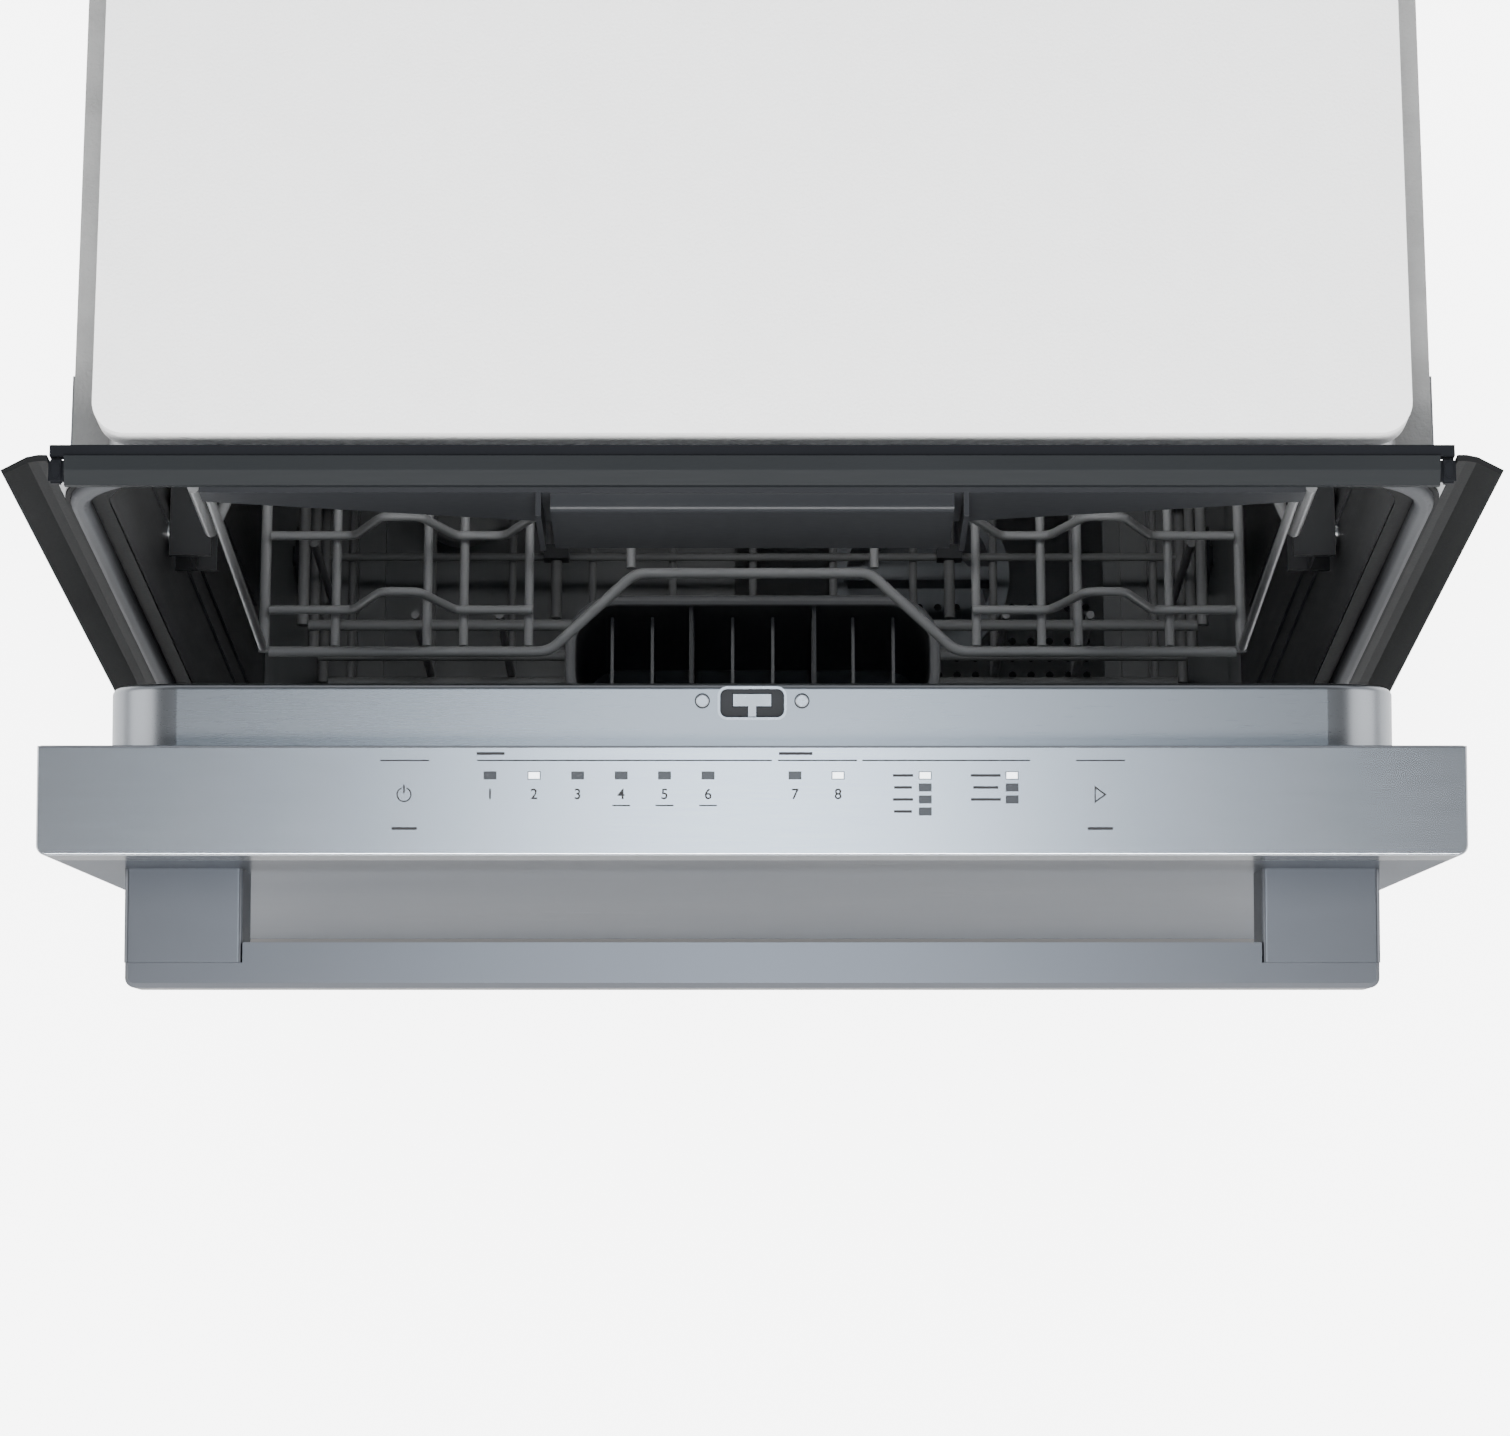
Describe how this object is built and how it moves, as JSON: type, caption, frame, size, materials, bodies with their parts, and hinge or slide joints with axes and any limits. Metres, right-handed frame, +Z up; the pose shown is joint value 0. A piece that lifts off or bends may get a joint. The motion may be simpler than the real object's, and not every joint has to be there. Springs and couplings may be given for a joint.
{
  "type": "built-in dishwasher",
  "caption": "Built-in dishwasher with a drop-down door, top controls, bar handle, sliding wire racks, turning spray arms and a lift-out cutlery basket.",
  "frame": {"origin": "middle of the overall footprint, on the floor under the levelling feet", "axes": "X to the right as seen from the front, Y from the front to the rear, Z up; the door faces -Y"},
  "size_m": [0.6336, 0.747, 0.8586],
  "materials": {
    "brushed_door_steel": "brushed",
    "satin_liner_steel": "satin",
    "tub_steel": "satin",
    "handle_metal": "brushed",
    "zinc_steel": "zinc plated",
    "rail_paint": "satin",
    "toe_paint": "satin",
    "black_rubber": "matt",
    "grey_rubber": "matt",
    "pale_fleece": "felted",
    "grey_fleece": "felted",
    "floor_plastic": "moulded",
    "base_plastic": "moulded",
    "filter_plastic": "moulded",
    "wire_coat": "polymer coated wire",
    "rack_plastic": "moulded",
    "basket_plastic": "moulded",
    "latch_plastic": "moulded",
    "latch_metal": "polished",
    "dispenser_plastic": "moulded",
    "window_plastic": "clear",
    "board_green": "lacquered"
  },
  "bodies": {
    "cabinet": {"tub_wrap": "tub_steel", "tub_back": "tub_steel", "tub_floor": "floor_plastic", "base_tray": "base_plastic", "levelling_feet": "base_plastic", "toe_kick": "toe_paint", "toe_screws": "zinc_steel", "front_rail": "rail_paint", "top_seal_strip": "black_rubber", "side_lips": "black_rubber", "door_gasket": "grey_rubber", "lower_door_seal": "black_rubber", "top_fleece": "pale_fleece", "wall_fleece": "grey_fleece", "fixing_tabs": "zinc_steel", "latch_strike": "satin_liner_steel", "hinge_brackets": "zinc_steel", "door_springs": "zinc_steel", "sump_and_pump": "base_plastic", "filter_plate": "tub_steel", "drain_pump": "base_plastic", "inlet_valve": "base_plastic", "cable_gland": "base_plastic", "spray_riser": "floor_plastic", "spray_post": "floor_plastic", "roller_pins": "zinc_steel"},
    "door": {"door_outer_panel": "brushed_door_steel", "door_liner": "satin_liner_steel", "control_panel": "brushed_door_steel", "indicator_windows": "window_plastic", "handle_bar": "handle_metal", "handle_brackets": "handle_metal", "handle_screws": "zinc_steel", "hinge_arms": "zinc_steel", "latch_housing": "latch_plastic", "dispenser": "dispenser_plastic", "control_board": "board_green", "door_fleece": "grey_fleece"},
    "latch_tongue": {"latch_tongue": "latch_metal"},
    "dispenser_lid": {"dispenser_lid": "dispenser_plastic"},
    "rinse_aid_cap": {"rinse_aid_cap": "dispenser_plastic"},
    "rack_rails": {"rack_rails": "rail_paint"},
    "upper_rack": {"upper_rack": "wire_coat", "upper_trim": "rack_plastic", "upper_wheel_carriers": "rack_plastic", "upper_feed_tube": "floor_plastic"},
    "upper_spray_arm": {"upper_spray_arm": "floor_plastic"},
    "upper_wheels_front": {"upper_wheels_front": "rack_plastic"},
    "upper_wheels_rear": {"upper_wheels_rear": "rack_plastic"},
    "tub_rollers_front": {"tub_rollers_front": "rack_plastic"},
    "tub_rollers_rear": {"tub_rollers_rear": "rack_plastic"},
    "lower_rack": {"lower_rack": "wire_coat", "lower_rack_clips": "rack_plastic"},
    "lower_wheels_front": {"lower_wheels_front": "rack_plastic"},
    "lower_wheels_rear": {"lower_wheels_rear": "rack_plastic"},
    "fold_tines_left": {"fold_tines_left": "wire_coat"},
    "fold_tines_right": {"fold_tines_right": "wire_coat"},
    "cutlery_basket": {"cutlery_basket": "basket_plastic"},
    "lower_spray_arm": {"lower_spray_arm": "floor_plastic"},
    "filter_cup": {"filter_cup": "filter_plastic"}
  },
  "joints": [
    {"name": "door_hinge", "type": "hinge", "parent": "cabinet", "child": "door", "pos_m": [0, -0.18947, 0.128], "axis": [1, 0, 0], "range_deg": [-9, 81]},
    {"name": "upper_rack_slide", "type": "slide", "parent": "cabinet", "child": "upper_rack", "axis": [0, -1, 0], "range_m": [-0.0472, 0.4242]},
    {"name": "rack_rail_slide", "type": "slide", "parent": "cabinet", "child": "rack_rails", "axis": [0, -1, 0], "range_m": [-0.0236, 0.2121]},
    {"name": "lower_rack_slide", "type": "slide", "parent": "cabinet", "child": "lower_rack", "axis": [0, -1, 0], "range_m": [-0.0213, 0.1909]},
    {"name": "upper_spray_spin", "type": "hinge", "parent": "upper_rack", "child": "upper_spray_arm", "pos_m": [0, 0.06053, 0.489], "axis": [0, 0, 1], "continuous": true},
    {"name": "lower_spray_spin", "type": "hinge", "parent": "cabinet", "child": "lower_spray_arm", "pos_m": [0, 0.08853, 0.18], "axis": [0, 0, 1], "continuous": true},
    {"name": "tub_roller_front_spin", "type": "hinge", "parent": "cabinet", "child": "tub_rollers_front", "pos_m": [0, -0.12647, 0.6], "axis": [1, 0, 0], "continuous": true},
    {"name": "tub_roller_rear_spin", "type": "hinge", "parent": "cabinet", "child": "tub_rollers_rear", "pos_m": [0, 0.04353, 0.6], "axis": [1, 0, 0], "continuous": true},
    {"name": "upper_wheel_front_spin", "type": "hinge", "parent": "upper_rack", "child": "upper_wheels_front", "pos_m": [0, 0.08353, 0.6], "axis": [1, 0, 0], "continuous": true},
    {"name": "upper_wheel_rear_spin", "type": "hinge", "parent": "upper_rack", "child": "upper_wheels_rear", "pos_m": [0, 0.26853, 0.6], "axis": [1, 0, 0], "continuous": true},
    {"name": "lower_wheel_front_spin", "type": "hinge", "parent": "lower_rack", "child": "lower_wheels_front", "pos_m": [0, -0.01647, 0.1843], "axis": [1, 0, 0], "continuous": true},
    {"name": "lower_wheel_rear_spin", "type": "hinge", "parent": "lower_rack", "child": "lower_wheels_rear", "pos_m": [0, 0.24853, 0.1843], "axis": [1, 0, 0], "continuous": true},
    {"name": "tines_left_fold", "type": "hinge", "parent": "lower_rack", "child": "fold_tines_left", "pos_m": [-0.11, 0.10853, 0.215], "axis": [0, 1, 0], "range_deg": [0, 80]},
    {"name": "tines_right_fold", "type": "hinge", "parent": "lower_rack", "child": "fold_tines_right", "pos_m": [0.11, 0.10853, 0.215], "axis": [0, -1, 0], "range_deg": [0, 80]},
    {"name": "cutlery_lift", "type": "slide", "parent": "lower_rack", "child": "cutlery_basket", "axis": [0, 0, 1], "range_m": [0, 0.06]},
    {"name": "filter_twist", "type": "hinge", "parent": "cabinet", "child": "filter_cup", "pos_m": [0.095, -0.02147, 0.16], "axis": [0, 0, 1], "range_deg": [0, 90]},
    {"name": "lid_slide", "type": "slide", "parent": "door", "child": "dispenser_lid", "axis": [-1, 0, 0], "range_m": [0, 0.1]},
    {"name": "cap_flip", "type": "hinge", "parent": "door", "child": "rinse_aid_cap", "pos_m": [0.055, -0.2084, 0.51986], "axis": [1, 0, 0], "range_deg": [0, 60]},
    {"name": "latch_press", "type": "slide", "parent": "door", "child": "latch_tongue", "axis": [0, -0.1564, 0.9877], "range_m": [-0.004, 0], "stiffness_N_per_m": 300, "springref_m": 0.002}
  ],
  "couplings": [
    {"joint": "upper_rack_slide", "follows": "door_hinge", "m_per_rad": 0.3},
    {"joint": "rack_rail_slide", "follows": "door_hinge", "m_per_rad": 0.15},
    {"joint": "lower_rack_slide", "follows": "door_hinge", "m_per_rad": 0.135}
  ]
}
